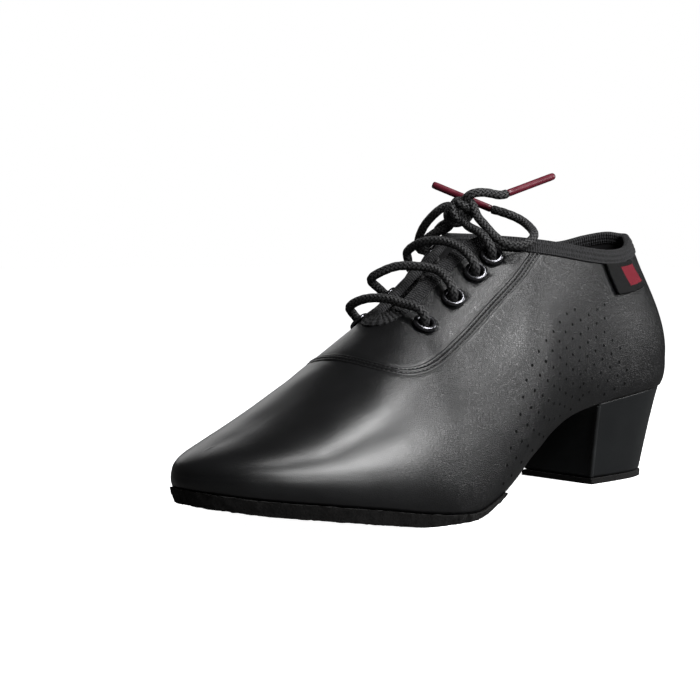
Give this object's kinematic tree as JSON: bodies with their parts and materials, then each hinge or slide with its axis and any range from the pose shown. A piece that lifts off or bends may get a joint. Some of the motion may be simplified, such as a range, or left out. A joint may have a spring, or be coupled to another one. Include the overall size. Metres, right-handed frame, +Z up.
{
  "type": "ballroom dance shoe",
  "caption": "Left lace-up ballroom practice shoe with a Cuban heel, split suede sole, bound collar and throat, metal eyelets and a tied lace.",
  "frame": {"origin": "middle of the shoe's footprint box on the floor plane", "axes": "+X from the heel to the toe, +Y to the shoe's left, which is its outer side, +Z up"},
  "size_m": [0.2426, 0.088, 0.1223],
  "materials": {
    "black leather": "near-black smooth leather, semi-gloss",
    "insole cloth": "black lining cloth, matt",
    "sole suede": "black suede, rough",
    "heel cover": "black cover, satin",
    "tag weave": "woven, matt",
    "dark nickel": "dark polished nickel",
    "lace cord": "black braided cord, matt",
    "aglet red": "dark red translucent tip"
  },
  "bodies": {
    "root": {"upper": "black leather", "insole": "insole cloth", "outsole": "sole suede", "heel": "heel cover", "heel_lift": "sole suede", "side_tag": "tag weave", "eyelet_outer_1": "dark nickel", "eyelet_outer_2": "dark nickel", "eyelet_outer_3": "dark nickel", "eyelet_outer_4": "dark nickel", "eyelet_inner_1": "dark nickel", "eyelet_inner_2": "dark nickel", "eyelet_inner_3": "dark nickel", "eyelet_inner_4": "dark nickel", "lace_bar_1": "lace cord", "lace_bar_2": "lace cord", "lace_bar_3": "lace cord", "lace_rise_outer": "lace cord", "lace_rise_inner": "lace cord", "lace_knot": "lace cord", "lace_loop": "lace cord", "lace_end_a": "lace cord", "lace_end_b": "lace cord", "aglet_a": "aglet red", "aglet_b": "aglet red"}
  },
  "joints": []
}
